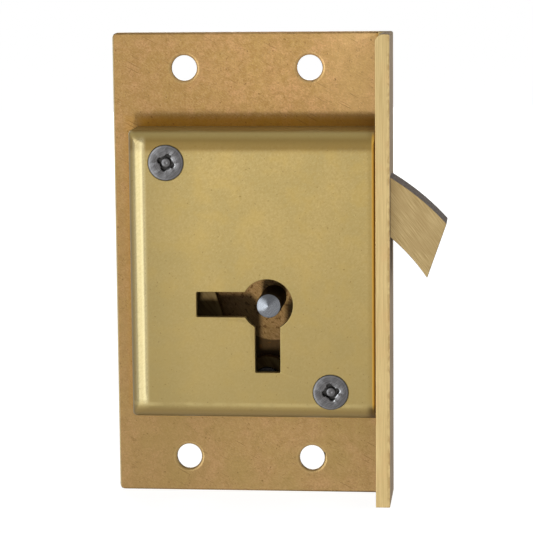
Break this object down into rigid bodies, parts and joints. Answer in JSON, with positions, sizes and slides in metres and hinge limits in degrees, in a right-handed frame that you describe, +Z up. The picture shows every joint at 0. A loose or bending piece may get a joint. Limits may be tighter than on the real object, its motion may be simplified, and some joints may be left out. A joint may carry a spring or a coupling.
{
  "type": "cut cupboard lock",
  "caption": "Flush cupboard lock: brass plate and forend, boxed case with an L-shaped keyhole over a drill pin, and a hook bolt that swings out through the forend.",
  "frame": {"origin": "centre of the four screw holes on the plate's seat face, the face that lies against the wood", "axes": "+X towards the forend and the thrown hook, +Y through the plate to the room side, +Z up along the forend"},
  "size_m": [0.0546, 0.0127, 0.076],
  "materials": {
    "plate_brass": "dull, sanded, reddish",
    "forend_brass": "ground lengthwise, pale",
    "cover_brass": "satin, olive yellow",
    "bolt_brass": "ground along the hook",
    "lever_brass": "pressed, plain",
    "screw_steel": "turned, grey",
    "pin_steel": "turned bright end",
    "post_steel": "drawn bar",
    "spring_steel": "hardened strip"
  },
  "bodies": {
    "case": {"back_plate": "plate_brass", "forend": "forend_brass", "cover": "cover_brass", "cover_screws": "screw_steel", "drill_pin": "pin_steel", "bolt_post": "post_steel", "lever_post": "post_steel", "lever_stop": "post_steel", "spring_post": "post_steel", "pillar_upper": "post_steel", "pillar_lower": "post_steel"},
    "bolt": {"hook_bolt": "bolt_brass", "bolt_stump": "post_steel"},
    "lever_1": {"lever_1": "lever_brass", "lever_spring_1": "spring_steel"},
    "lever_2": {"lever_2": "lever_brass", "lever_spring_2": "spring_steel"},
    "lever_3": {"lever_3": "lever_brass", "lever_spring_3": "spring_steel"},
    "lever_4": {"lever_4": "lever_brass", "lever_spring_4": "spring_steel"}
  },
  "joints": [
    {"name": "bolt_swing", "type": "hinge", "parent": "case", "child": "bolt", "pos_m": [0.0032, 0, -0.0186], "axis": [0, -1, 0], "range_deg": [0, 17.88]},
    {"name": "lever_1_lift", "type": "hinge", "parent": "case", "child": "lever_1", "pos_m": [-0.0128, 0, 0.0095], "axis": [0, -1, 0], "range_deg": [-6, 4], "stiffness_Nm_per_rad": 0.02, "springref_deg": -22.92, "deforming": ["lever_spring_1"]},
    {"name": "lever_2_lift", "type": "hinge", "parent": "case", "child": "lever_2", "pos_m": [-0.0128, 0, 0.0095], "axis": [0, -1, 0], "range_deg": [-6, 4], "stiffness_Nm_per_rad": 0.02, "springref_deg": -22.92, "deforming": ["lever_spring_2"]},
    {"name": "lever_3_lift", "type": "hinge", "parent": "case", "child": "lever_3", "pos_m": [-0.0128, 0, 0.0095], "axis": [0, -1, 0], "range_deg": [-6, 4], "stiffness_Nm_per_rad": 0.02, "springref_deg": -22.92, "deforming": ["lever_spring_3"]},
    {"name": "lever_4_lift", "type": "hinge", "parent": "case", "child": "lever_4", "pos_m": [-0.0128, 0, 0.0095], "axis": [0, -1, 0], "range_deg": [-6, 4], "stiffness_Nm_per_rad": 0.02, "springref_deg": -22.92, "deforming": ["lever_spring_4"]}
  ]
}
